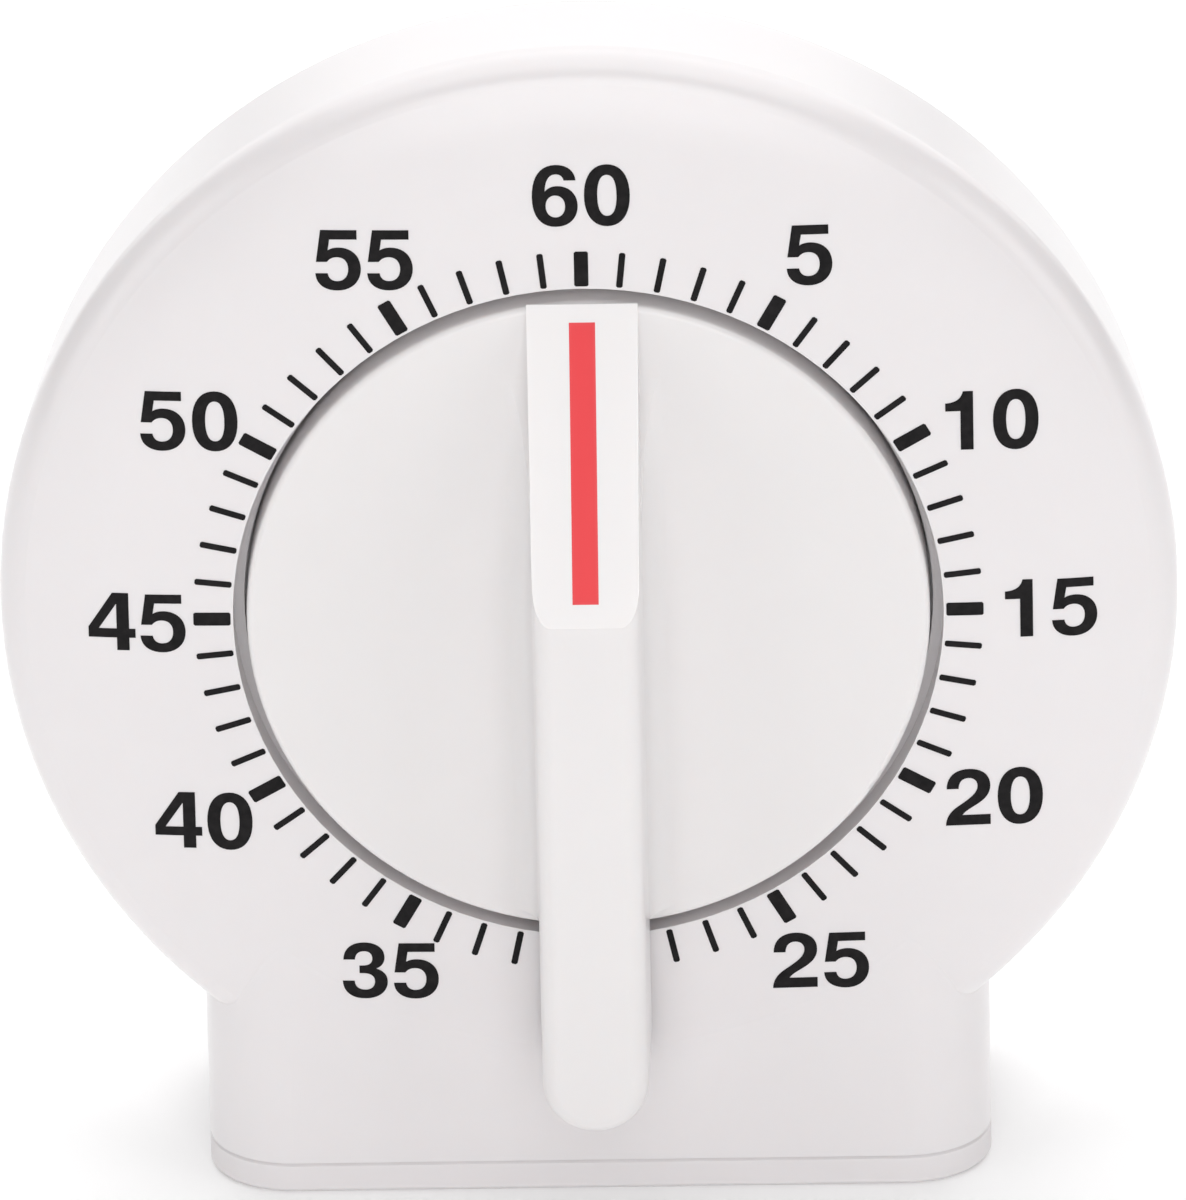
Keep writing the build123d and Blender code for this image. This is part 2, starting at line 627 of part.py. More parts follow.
with BuildPart() as movement_screws:
    with BuildSketch(behind(FRONT_PLATE_REAR)):
        with Locations(*SCREW_SPOTS):
            Circle(PLATE_SHANK_R)
    extrude(amount=FRONT_PLATE_REAR - WELL_FLOOR - PLATE_HEAD)
    with BuildSketch(behind(WELL_FLOOR + PLATE_HEAD)):
        with Locations(*SCREW_SPOTS):
            Circle(PLATE_HEAD_R)
    extrude(amount=PLATE_HEAD)
    with BuildSketch(behind(WELL_FLOOR + PLATE_SLOT_DEEP)):
        with Locations(*SCREW_SPOTS):
            Rectangle(2 * PLATE_RECESS_R, PLATE_SLOT_WIDE)
    extrude(amount=PLATE_SLOT_DEEP, mode=Mode.SUBTRACT)

# ---------------------------------------------------------------- main arbor
ARBOR_FRONT = FRONT_PLATE_REAR + SHOULDER_GAP
ARBOR_REAR = BACK_PLATE - SHOULDER_GAP
MAIN_WHEEL_REAR = 11.0
RATCHET_REAR = 11.7
CAM_FRONT, CAM_REAR = 12.9, 13.7
SPRING_FRONT, SPRING_REAR = 14.6, 19.2
ESCAPE_WHEEL_REAR = 15.6
LEVER_FRONT, LEVER_REAR = 15.7, 16.2
ARBOR_TIP = 1.4
ARBOR_FLAT, ARBOR_FLAT_END = 1.7, 7.5
CORE_FRONT = 14.2
MAIN_PIVOT_END = 0.5
HAMMER_REAR = 22.6
HAMMER_LEVER_REAR = 22.0
HAMMER_HEAD_REAR = 26.0
HEAD_STUD_R = 0.6
LEVER_THICK = 0.8

with BuildPart() as main_arbor:
    with BuildSketch(behind(ARBOR_FRONT)):
        Circle(MAIN_NECK_R)
    extrude(amount=ARBOR_FRONT - ARBOR_TIP)
    with BuildSketch(behind(ARBOR_FLAT_END)):
        with Locations((0, ARBOR_FLAT)):
            Rectangle(2 * MAIN_NECK_R, MAIN_NECK_R, align=(Align.CENTER, Align.MIN))
    extrude(amount=ARBOR_FLAT_END, mode=Mode.SUBTRACT)
    with BuildSketch(behind(ARBOR_REAR)):
        Circle(MAIN_SEAT_R)
    extrude(amount=ARBOR_REAR - ARBOR_FRONT)
    with BuildSketch(behind(ARBOR_REAR)):
        Circle(MAIN_CORE_R)
    extrude(amount=ARBOR_REAR - CORE_FRONT)
    with BuildSketch(behind(BACK_PLATE_REAR + MAIN_PIVOT_END)):
        Circle(MAIN_PIVOT_R)
    extrude(amount=BACK_PLATE_REAR + MAIN_PIVOT_END - ARBOR_REAR)

with BuildPart() as main_wheel:
    with BuildSketch(behind(MAIN_WHEEL_REAR)):
        add(gear_face(MAIN_TEETH, MAIN_MODULE, WHEEL_ADDENDUM, bearing(MAIN_SPOT, SECOND_SPOT)))
        Circle(MAIN_SEAT_R, mode=Mode.SUBTRACT)
        with PolarLocations(9.2, 5, start_angle=36):
            Circle(2.2, mode=Mode.SUBTRACT)
    extrude(amount=MAIN_WHEEL_REAR - ARBOR_FRONT - SHOULDER_GAP)

RATCHET_TEETH = 16
RATCHET_R, RATCHET_ROOT_R = 4.4, 3.7
with BuildPart() as ratchet_wheel:
    with BuildSketch(behind(RATCHET_REAR)):
        with BuildLine():
            for n in range(RATCHET_TEETH):
                tooth = 360 / RATCHET_TEETH
                Polyline(
                    polar(RATCHET_R, n * tooth),
                    polar(RATCHET_ROOT_R, n * tooth),
                    polar(RATCHET_R, (n + 1) * tooth),
                )
        make_face()
        Circle(MAIN_SEAT_R, mode=Mode.SUBTRACT)
    extrude(amount=RATCHET_REAR - MAIN_WHEEL_REAR)

CLICK_SPOT = polar(8.2, 0)
CLICK_POST_R = 0.6
CLICK_GAP = 0.05
with BuildPart() as click_post:
    with BuildSketch(behind(RATCHET_REAR, CLICK_SPOT)):
        Circle(CLICK_POST_R)
    extrude(amount=RATCHET_REAR - MAIN_WHEEL_REAR)

with BuildPart() as click_pawl:
    with BuildSketch(behind(RATCHET_REAR)):
        with BuildLine():
            Polyline(
                polar(4.55, 34), polar(5.6, 28), polar(7.4, 8), polar(7.2, -6), polar(5.9, 12),
                polar(4.6, 26), close=True,
            )
        make_face()
        with Locations(CLICK_SPOT):
            Circle(2 * CLICK_POST_R)
            Circle(CLICK_POST_R + CLICK_GAP, mode=Mode.SUBTRACT)
    extrude(amount=RATCHET_REAR - MAIN_WHEEL_REAR)

with BuildPart() as click_spring:
    with BuildSketch(behind(RATCHET_REAR)):
        with BuildLine(mode=Mode.PRIVATE) as leaf:
            ThreePointArc(polar(5.95, 29), polar(7.9, 34), polar(9.6, 60))
        trace(leaf.line.edges(), line_width=0.25)
    extrude(amount=RATCHET_REAR - MAIN_WHEEL_REAR - 0.1)

CAM_HIGH, CAM_LOW = 4.6, 3.0
with BuildPart() as hammer_cam:
    with BuildSketch(behind(CAM_REAR)):
        Circle(CAM_HIGH)
        # notch that the nose drops into at zero, its upper flank laid back for the arm
        with BuildLine():
            floor = ThreePointArc(polar(CAM_LOW, -57), polar(CAM_LOW, -36), polar(CAM_LOW, -16))
            Polyline(
                floor @ 1, polar(CAM_HIGH, 18), polar(CAM_HIGH + 1.2, 28), polar(CAM_HIGH + 2, -20),
                polar(CAM_HIGH + 1, -67), floor @ 0,
            )
        make_face(mode=Mode.SUBTRACT)
        Circle(MAIN_SEAT_R, mode=Mode.SUBTRACT)
    extrude(amount=CAM_REAR - CAM_FRONT)

with BuildPart() as mainspring:
    with BuildSketch(behind(SPRING_REAR)):
        add(spiral_face(2.56, 9.3, 5, 0.3, 105))
    extrude(amount=SPRING_REAR - SPRING_FRONT)

with BuildPart() as spring_post:
    with BuildSketch(behind(BACK_PLATE, SPRING_POST)):
        Circle(SPRING_HOOK_R)
    extrude(amount=BACK_PLATE - SPRING_FRONT)
    with BuildSketch(behind(BACK_PLATE_REAR, SPRING_POST)):
        Circle(SPRING_STUD_R)
    extrude(amount=PLATE)


# ---------------------------------------------------------------- going train
def arbor_body(spot, pinion_module, pinion_front, pinion_rear, wheel_rear, seat_r, first_tooth):
    """Arbor between the plates, with its leaf pinion cut on it and a seat for its wheel."""
    with BuildPart() as arbor:
        with BuildSketch(behind(ARBOR_REAR, spot)):
            Circle(ARBOR_R)
        extrude(amount=ARBOR_REAR - ARBOR_FRONT)
        with BuildSketch(behind(BACK_PLATE_REAR + PIVOT_END, spot)):
            Circle(PIVOT_R)
        extrude(amount=BACK_PLATE_REAR - FRONT_PLATE + 2 * PIVOT_END)
        with BuildSketch(behind(wheel_rear, spot)):
            Circle(seat_r)
        extrude(amount=wheel_rear - pinion_rear)
        with BuildSketch(behind(pinion_rear, spot)):
            add(gear_face(PINION_TEETH, pinion_module, 1.0, first_tooth))
        extrude(amount=pinion_rear - pinion_front)
    return arbor.part


def wheel_body(spot, teeth, module, front, rear, bore, first_tooth, window_ring, window_r):
    """Train wheel with five round windows, pressed on its arbor."""
    with BuildPart() as wheel:
        with BuildSketch(behind(rear, spot)):
            add(gear_face(teeth, module, WHEEL_ADDENDUM, first_tooth))
            Circle(bore, mode=Mode.SUBTRACT)
            with PolarLocations(window_ring, 5):
                Circle(window_r, mode=Mode.SUBTRACT)
        extrude(amount=rear - front)
    return wheel.part


# Depths of each pinion and wheel between the plates, and the radius of each wheel's seat
SECOND_PINION = (10.0, 11.3)
SECOND_WHEEL = (12.0, 12.6)
SECOND_SEAT_R = 1.2
THIRD_PINION = (11.8, 12.9)
THIRD_WHEEL = (13.6, 14.1)
THIRD_SEAT_R = 1.1
ESCAPE_PINION = (13.3, 14.4)
ESCAPE_SEAT_R = 0.9
HALF_LEAF = 180 / PINION_TEETH

with BuildPart() as second_arbor:
    leaf = bearing(SECOND_SPOT, MAIN_SPOT) + HALF_LEAF
    add(arbor_body(SECOND_SPOT, MAIN_MODULE, *SECOND_PINION, SECOND_WHEEL[1], SECOND_SEAT_R, leaf))

with BuildPart() as second_wheel:
    tooth = bearing(SECOND_SPOT, THIRD_SPOT)
    add(wheel_body(SECOND_SPOT, SECOND_TEETH, SECOND_MODULE, *SECOND_WHEEL, SECOND_SEAT_R, tooth, 5.6, 2.0))

with BuildPart() as third_arbor:
    leaf = bearing(THIRD_SPOT, SECOND_SPOT) + HALF_LEAF
    add(arbor_body(THIRD_SPOT, SECOND_MODULE, *THIRD_PINION, THIRD_WHEEL[1], THIRD_SEAT_R, leaf))

with BuildPart() as third_wheel:
    tooth = bearing(THIRD_SPOT, ESCAPE_SPOT)
    add(wheel_body(THIRD_SPOT, THIRD_TEETH, THIRD_MODULE, *THIRD_WHEEL, THIRD_SEAT_R, tooth, 4.7, 1.6))

with BuildPart() as escape_arbor:
    leaf = bearing(ESCAPE_SPOT, THIRD_SPOT) + HALF_LEAF
    add(arbor_body(ESCAPE_SPOT, THIRD_MODULE, *ESCAPE_PINION, ESCAPE_WHEEL_REAR, ESCAPE_SEAT_R, leaf))

# ---------------------------------------------------------------- escapement
PALLET_PIN_R = 0.2
PALLET_RING = ESCAPE_R + PALLET_PIN_R + 0.06
lever_line = bearing(ESCAPE_SPOT, PALLET_SPOT)
PALLET_PIN_SPOTS = [polar(PALLET_RING, lever_line + side * 30, ESCAPE_SPOT) for side in (-1, 1)]
TOOTH_MIDDLE = 8.6
ESCAPE_ROOT_R = 3.3
escape_phase = lever_line - 30 - 6 - TOOTH_MIDDLE

with BuildPart() as escape_wheel:
    with BuildSketch(behind(ESCAPE_WHEEL_REAR, ESCAPE_SPOT)):
        with BuildLine():
            for n in range(ESCAPE_TEETH):
                foot = escape_phase + n * 360 / ESCAPE_TEETH
                Polyline(
                    polar(ESCAPE_ROOT_R, foot),
                    polar(ESCAPE_R, foot + 8),
                    polar(ESCAPE_R, foot + 9.5),
                    polar(ESCAPE_ROOT_R, foot + 13),
                    polar(ESCAPE_ROOT_R, foot + 360 / ESCAPE_TEETH),
                )
        make_face()
        Circle(ESCAPE_SEAT_R, mode=Mode.SUBTRACT)
        with PolarLocations(2.1, 5):
            Circle(0.65, mode=Mode.SUBTRACT)
    extrude(amount=0.4)

with BuildPart() as pallet_arbor:
    with BuildSketch(behind(ARBOR_REAR, PALLET_SPOT)):
        Circle(SMALL_ARBOR_R)
    extrude(amount=ARBOR_REAR - ARBOR_FRONT)
    with BuildSketch(behind(BACK_PLATE_REAR + PIVOT_END, PALLET_SPOT)):
        Circle(PIVOT_R)
    extrude(amount=BACK_PLATE_REAR - FRONT_PLATE + 2 * PIVOT_END)

ROLLER_PIN_RING = 1.4
ROLLER_PIN_R = 0.2
FORK_GAP = 0.15
PIN_END = 15.0
BALANCE_R, BALANCE_RIM = 7.5, 1.2
fork_line = bearing(PALLET_SPOT, BALANCE_SPOT)
with BuildPart() as pallet_lever:
    with BuildSketch(behind(LEVER_REAR)):
        for spot in PALLET_PIN_SPOTS:
            with BuildLine(mode=Mode.PRIVATE) as arm:
                Line(PALLET_SPOT, spot)
            trace(arm.line.edges(), line_width=0.9)
            with Locations(spot):
                Circle(0.45)
        with BuildLine(mode=Mode.PRIVATE) as stem:
            Line(PALLET_SPOT, polar(6.3, fork_line, PALLET_SPOT))
        trace(stem.line.edges(), line_width=0.8)
        with Locations(polar(6.6, fork_line, PALLET_SPOT)):
            Rectangle(1.4, 2.4, rotation=fork_line)
        with Locations(PALLET_SPOT):
            Circle(1.1)
            Circle(SMALL_ARBOR_R, mode=Mode.SUBTRACT)
        with Locations(BALANCE_SPOT):
            Circle(ROLLER_PIN_RING + ROLLER_PIN_R + FORK_GAP, mode=Mode.SUBTRACT)
        with Locations(*PALLET_PIN_SPOTS):
            Circle(PALLET_PIN_R, mode=Mode.SUBTRACT)
    extrude(amount=LEVER_REAR - LEVER_FRONT)

with BuildPart() as pallet_pins:
    with BuildSketch(behind(LEVER_REAR)):
        with Locations(*PALLET_PIN_SPOTS):
            Circle(PALLET_PIN_R)
    extrude(amount=LEVER_REAR - PIN_END)

with BuildPart() as balance_staff:
    with BuildSketch(behind(ARBOR_REAR, BALANCE_SPOT)):
        Circle(SMALL_ARBOR_R)
    extrude(amount=ARBOR_REAR - ARBOR_FRONT)
    with BuildSketch(behind(BACK_PLATE_REAR + PIVOT_END, BALANCE_SPOT)):
        Circle(PIVOT_R)
    extrude(amount=BACK_PLATE_REAR - FRONT_PLATE + 2 * PIVOT_END)

with BuildPart() as impulse_roller:
    with BuildSketch(behind(15.5, BALANCE_SPOT)):
        Circle(1.9)
        Circle(SMALL_ARBOR_R, mode=Mode.SUBTRACT)
    extrude(amount=0.5)
    with BuildSketch(behind(16.3, BALANCE_SPOT)):
        with Locations(polar(ROLLER_PIN_RING, fork_line + 180)):
            Circle(ROLLER_PIN_R)
    extrude(amount=0.9)

with BuildPart() as balance_wheel:
    with BuildSketch(behind(17.6, BALANCE_SPOT)):
        Circle(BALANCE_R)
        Circle(BALANCE_R - BALANCE_RIM, mode=Mode.SUBTRACT)
        with PolarLocations(0, 3):
            with Locations((BALANCE_R / 2, 0)):
                Rectangle(BALANCE_R - BALANCE_RIM, 1.0)
        Circle(1.3)
        Circle(SMALL_ARBOR_R, mode=Mode.SUBTRACT)
    extrude(amount=0.8)

with BuildPart() as hairspring:
    with BuildSketch(behind(18.8, BALANCE_SPOT)):
        add(spiral_face(0.68, 4.9, 6, 0.14, 0))
    extrude(amount=0.6)

with BuildPart() as hairspring_stud:
    with BuildSketch(behind(BACK_PLATE_REAR, STUD_SPOT)):
        Circle(HAIR_STUD_R)
    extrude(amount=BACK_PLATE_REAR - 18.0)

# ---------------------------------------------------------------- strike
with BuildPart() as hammer_arbor:
    with BuildSketch(behind(HAMMER_REAR, HAMMER_SPOT)):
        Circle(HAMMER_ARBOR_R)
    extrude(amount=HAMMER_REAR - ARBOR_FRONT)
    with BuildSketch(behind(ARBOR_FRONT, HAMMER_SPOT)):
        Circle(HAMMER_PIVOT_R)
    extrude(amount=ARBOR_FRONT - FRONT_PLATE + PIVOT_END)

with BuildPart() as hammer_follower:
    with BuildSketch(behind(CAM_REAR)):
        with BuildLine(mode=Mode.PRIVATE) as arm:
            Line(HAMMER_SPOT, HAMMER_NOSE)
        trace(arm.line.edges(), line_width=1.2)
        with Locations(HAMMER_NOSE):
            Circle(0.6)
        with Locations(HAMMER_SPOT):
            Circle(2 * HAMMER_ARBOR_R)
            Circle(HAMMER_ARBOR_R, mode=Mode.SUBTRACT)
    extrude(amount=CAM_REAR - CAM_FRONT)

with BuildPart() as hammer_lever:
    with BuildSketch(behind(HAMMER_LEVER_REAR)):
        with BuildLine(mode=Mode.PRIVATE) as arm:
            Line(HAMMER_SPOT, HAMMER_HEAD)
        trace(arm.line.edges(), line_width=1.6)
        with Locations(HAMMER_HEAD):
            Circle(2 * HEAD_STUD_R)
            Circle(HEAD_STUD_R, mode=Mode.SUBTRACT)
        with Locations(HAMMER_SPOT):
            Circle(2.2 * HAMMER_ARBOR_R)
            Circle(HAMMER_ARBOR_R, mode=Mode.SUBTRACT)
    extrude(amount=LEVER_THICK)

with BuildPart() as hammer_head:
    with BuildSketch(behind(HAMMER_HEAD_REAR, HAMMER_HEAD)):
        Circle(1.6)
    extrude(amount=HAMMER_HEAD_REAR - HAMMER_LEVER_REAR)
    with BuildSketch(behind(HAMMER_LEVER_REAR, HAMMER_HEAD)):
        Circle(HEAD_STUD_R)
    extrude(amount=LEVER_THICK)

with BuildPart() as hammer_spring:
    with BuildLine() as coil:
        coil_end = (HAMMER_SPOT[0], FACE_Y + 18.0, DIAL_Z + HAMMER_SPOT[1])
        Helix(pitch=0.5, height=2.5, radius=1.5, center=coil_end, direction=(0, -1, 0))
    with BuildSketch(Plane(origin=coil.line @ 0, z_dir=coil.line % 0)):
        Circle(0.15)
    sweep(path=coil.line)

with BuildPart() as gong:
    with BuildSketch(PROFILE.offset(GONG_SPOT[0])):
        with BuildLine():
            middle = GONG_SPOT[1]
            outer_r, inner_r = middle + GONG_R, middle + GONG_R - GONG_WALL
            hole = middle + GONG_HOLE_R
            crown = GONG_REAR - GONG_WALL
            FilletPolyline((GONG_FRONT, outer_r), (GONG_REAR, outer_r), (GONG_REAR, hole), radius=GONG_ROUND)
            inner_round = GONG_ROUND - GONG_WALL
            FilletPolyline((GONG_FRONT, inner_r), (crown, inner_r), (crown, hole), radius=inner_round)
            Line((GONG_FRONT, outer_r), (GONG_FRONT, inner_r))
            Line((GONG_REAR, hole), (crown, hole))
        make_face()
    revolve(axis=Axis((GONG_SPOT[0], FACE_Y, DIAL_Z + GONG_SPOT[1]), (0, 1, 0)))

with BuildPart() as gong_post:
    seat = GONG_REAR - GONG_WALL
    with BuildSketch(behind(seat, GONG_SPOT)):
        Circle(2.2)
    extrude(amount=seat - BACK_PLATE_REAR)
    with BuildSketch(behind(BACK_PLATE_REAR, GONG_SPOT)):
        Circle(GONG_STUD_R)
    extrude(amount=PLATE)
    with BuildSketch(behind(GONG_POST_REAR, GONG_SPOT)):
        Circle(GONG_HOLE_R)
    extrude(amount=GONG_POST_REAR - seat)

with BuildPart() as gong_nut:
    with BuildSketch(behind(GONG_REAR + GONG_NUT_THICK, GONG_SPOT)):
        RegularPolygon(3.2, 6)
        Circle(GONG_HOLE_R, mode=Mode.SUBTRACT)
    extrude(amount=GONG_NUT_THICK)

pieces = {
    "front_shell": front_shell, "rear_cover": rear_cover, "base_plate": base_plate,
    "case_screws": case_screws, "base_screws": base_screws,
    "knob": knob, "pointer_stripe": pointer_stripe, "knob_clip": knob_clip,
    "front_plate": front_plate, "back_plate": back_plate, "plate_pillars": plate_pillars,
    "pillar_nuts": pillar_nuts, "movement_screws": movement_screws,
    "main_arbor": main_arbor, "main_wheel": main_wheel, "ratchet_wheel": ratchet_wheel,
    "click_post": click_post, "click_pawl": click_pawl, "click_spring": click_spring,
    "hammer_cam": hammer_cam, "mainspring": mainspring, "spring_post": spring_post,
    "second_arbor": second_arbor, "second_wheel": second_wheel,
    "third_arbor": third_arbor, "third_wheel": third_wheel,
    "escape_arbor": escape_arbor, "escape_wheel": escape_wheel,
    "pallet_arbor": pallet_arbor, "pallet_lever": pallet_lever, "pallet_pins": pallet_pins,
    "balance_staff": balance_staff, "impulse_roller": impulse_roller, "balance_wheel": balance_wheel,
    "hairspring": hairspring, "hairspring_stud": hairspring_stud,
    "hammer_arbor": hammer_arbor, "hammer_follower": hammer_follower, "hammer_lever": hammer_lever,
    "hammer_head": hammer_head, "hammer_spring": hammer_spring,
    "gong": gong, "gong_post": gong_post, "gong_nut": gong_nut,
}

os.makedirs("parts", exist_ok=True)
for name, piece in pieces.items():
    piece.part.label = name
    export_step(piece.part, f"parts/{name}.step")
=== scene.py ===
"""The looks of a sixty-minute kitchen timer: finishes, print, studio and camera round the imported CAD."""

from math import cos, pi, radians, sin

import bmesh
import bpy
from mathutils import Matrix, Vector
from mathutils.bvhtree import BVHTree


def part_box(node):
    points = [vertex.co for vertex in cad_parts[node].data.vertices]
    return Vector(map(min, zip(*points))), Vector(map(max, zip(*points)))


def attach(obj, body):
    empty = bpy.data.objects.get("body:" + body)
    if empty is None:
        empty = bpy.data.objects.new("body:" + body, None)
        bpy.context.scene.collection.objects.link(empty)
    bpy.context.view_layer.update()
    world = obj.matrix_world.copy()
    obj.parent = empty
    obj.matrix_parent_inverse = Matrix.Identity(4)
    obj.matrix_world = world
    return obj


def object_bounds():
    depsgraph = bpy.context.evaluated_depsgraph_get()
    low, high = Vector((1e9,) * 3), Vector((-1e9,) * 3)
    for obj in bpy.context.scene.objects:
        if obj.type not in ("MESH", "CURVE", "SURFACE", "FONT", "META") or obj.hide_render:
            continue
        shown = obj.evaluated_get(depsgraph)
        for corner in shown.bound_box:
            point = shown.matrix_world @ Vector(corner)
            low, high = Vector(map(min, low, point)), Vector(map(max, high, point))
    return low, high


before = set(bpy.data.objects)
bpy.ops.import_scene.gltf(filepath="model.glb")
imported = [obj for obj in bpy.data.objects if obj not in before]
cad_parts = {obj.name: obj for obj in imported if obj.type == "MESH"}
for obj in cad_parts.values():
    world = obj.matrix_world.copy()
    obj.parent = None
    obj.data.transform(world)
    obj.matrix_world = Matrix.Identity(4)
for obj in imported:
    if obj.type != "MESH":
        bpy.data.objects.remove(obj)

MM = 0.001
CAD_LOW, CAD_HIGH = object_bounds()

# ---------------------------------------------------------------- where things are

shell_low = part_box("front_shell")[0]
arbor_low, arbor_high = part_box("main_arbor")
axis = (arbor_low + arbor_high) / 2
# Middle of the dial, in the plane of the shell's foremost point
DIAL = Vector((axis.x, shell_low.y, axis.z))


# ---------------------------------------------------------------- finishes

# How far across the marks in a finish are, in metres
CLOUD = 0.03
FLECK = 0.0045
FLOW_MARK = 0.012
SPARK = 0.00035
FINE_SPARK = 0.0002
BRUSH_LINE = 0.0004
STAIN = 0.006
INK_COVER = 0.0007
INK_SKIN = 0.00012
FLOOR_MOTTLE = 0.05

# How high they stand, in metres
FLOW_HEIGHT = 0.00004
SPARK_HEIGHT = 0.000006
BRUSH_HEIGHT = 0.000008
SKIN_HEIGHT = 0.000003

# Corners tighter than these show wear, in metres
RUBBED_CORNER = 0.0004
BRIGHT_CORNER = 0.00015

# Moulded plastic: a roughness that wavers across 0.27 renders in blotches, so open skins stay above 0.28
PLASTIC_IOR = 1.49
SKIN_UNEVEN = 0.012
RUBBED_SHINE = 0.08
GLOW_DEPTH = 0.0012
GLOW_TINT = (1.0, 0.8, 0.7)
COAT_IOR = 1.5
COAT_ROUGHNESS = 0.28

# Printed ink
INK_IOR = 1.45
INK_SHINE = 0.12


class Recipe:
    """A node material being wired up."""

    def __init__(self, name):
        self.material = bpy.data.materials.new(name)
        self.material.use_nodes = True
        self.tree = self.material.node_tree
        self.shader = self.tree.nodes["Principled BSDF"]
        self.place = self.node("ShaderNodeTexCoord").outputs["Object"]

    def node(self, kind, **settings):
        made = self.tree.nodes.new(kind)
        for key, value in settings.items():
            setattr(made, key, value)
        return made

    def link(self, source, target):
        self.tree.links.new(source, target)

    def noise(self, size, detail=3.0, roughness=0.55, stretch=(1, 1, 1), distortion=0.0):
        """Noise whose blotches are about size metres across."""
        scaled = self.node("ShaderNodeMapping")
        scaled.inputs["Scale"].default_value = [s / size for s in stretch]
        self.link(self.place, scaled.inputs["Vector"])
        noise = self.node("ShaderNodeTexNoise")
        noise.inputs["Scale"].default_value = 1.0
        noise.inputs["Detail"].default_value = detail
        noise.inputs["Roughness"].default_value = roughness
        noise.inputs["Distortion"].default_value = distortion
        self.link(scaled.outputs["Vector"], noise.inputs["Vector"])
        return noise.outputs["Fac"]

    def spread(self, value, low, high, start=0.3, end=0.7):
        """value from start..end mapped on to low..high, held at the ends."""
        ranged = self.node("ShaderNodeMapRange")
        for key, number in (("From Min", start), ("From Max", end), ("To Min", low), ("To Max", high)):
            ranged.inputs[key].default_value = number
        self.link(value, ranged.inputs["Value"])
        return ranged.outputs["Result"]

    def mix(self, factor, first, second):
        """Two colours, or colour sockets, mixed by a socket."""
        mixed = self.node("ShaderNodeMix", data_type="RGBA")
        self.link(factor, mixed.inputs["Factor"])
        for key, value in (("A", first), ("B", second)):
            socket = [s for s in mixed.inputs if s.name == key and s.type == "RGBA"][0]
            if isinstance(value, bpy.types.NodeSocket):
                self.link(value, socket)
            else:
                socket.default_value = (*value, 1)
        return [s for s in mixed.outputs if s.type == "RGBA"][0]

    def edges(self, radius, reach=0.06):
        """About 1 where the surface turns a corner tighter than radius, and 0 on open surface."""
        rounded = self.node("ShaderNodeBevel", samples=4)
        rounded.inputs["Radius"].default_value = radius
        true = self.node("ShaderNodeNewGeometry")
        dot = self.node("ShaderNodeVectorMath", operation="DOT_PRODUCT")
        self.link(rounded.outputs["Normal"], dot.inputs[0])
        self.link(true.outputs["Normal"], dot.inputs[1])
        return self.spread(dot.outputs["Value"], 1.0, 0.0, 1.0 - reach, 1.0)

    def bump(self, *layers):
        """Stacks (height socket, distance in metres, strength) into the shader's normal."""
        normal = None
        for height, distance, strength in layers:
            bumped = self.node("ShaderNodeBump")
            bumped.inputs["Distance"].default_value = distance
            bumped.inputs["Strength"].default_value = strength
            self.link(height, bumped.inputs["Height"])
            if normal is not None:
                self.link(normal, bumped.inputs["Normal"])
            normal = bumped.outputs["Normal"]
        self.link(normal, self.shader.inputs["Normal"])

    def set(self, **values):
        for key, value in values.items():
            self.shader.inputs[key.replace("_", " ")].default_value = value


def linear(red, green, blue):
    """An sRGB colour of 0..255 as linear light."""
    return tuple(
        (c / 255 / 12.92) if c / 255 <= 0.04045 else ((c / 255 + 0.055) / 1.055) ** 2.4
        for c in (red, green, blue)
    )


def plastic(name, colour, shade, worn, roughness, grain=SPARK, relief=0.4, glow=0.2, gloss=0.8):
    """Moulded plastic: faint flow marks, a fine spark grain, and edges rubbed a little shinier."""
    r = Recipe(name)
    cloud = r.noise(CLOUD, detail=2.0)
    fleck = r.noise(FLECK, detail=1.0)
    spark = r.noise(grain, detail=3.0, roughness=0.6)
    flow = r.noise(FLOW_MARK, detail=1.0, stretch=(1, 1, 0.45), distortion=0.6)
    edge = r.edges(RUBBED_CORNER)
    base = r.mix(r.spread(cloud, 0.0, 1.0), linear(*colour), linear(*shade))
    base = r.mix(r.spread(fleck, 0.0, 0.1, 0.4, 0.9), base, linear(*worn))
    base = r.mix(r.spread(edge, 0.0, 0.35, 0.2, 1.0), base, linear(*worn))
    r.link(base, r.shader.inputs["Base Color"])
    rough = r.spread(fleck, roughness - SKIN_UNEVEN, roughness + SKIN_UNEVEN, 0.0, 1.0)
    rubbed = r.node("ShaderNodeMath", operation="MULTIPLY_ADD")
    r.link(r.spread(edge, 0.0, 1.0, 0.2, 1.0), rubbed.inputs[0])
    rubbed.inputs[1].default_value = -RUBBED_SHINE
    r.link(rough, rubbed.inputs[2])
    r.link(rubbed.outputs[0], r.shader.inputs["Roughness"])
    r.bump((flow, FLOW_HEIGHT, 0.25), (spark, SPARK_HEIGHT, relief))
    r.set(IOR=PLASTIC_IOR, Subsurface_Weight=glow, Subsurface_Scale=GLOW_DEPTH, Subsurface_Radius=GLOW_TINT)
    r.set(Coat_Weight=gloss, Coat_Roughness=COAT_ROUGHNESS, Coat_IOR=COAT_IOR)
    return r.material


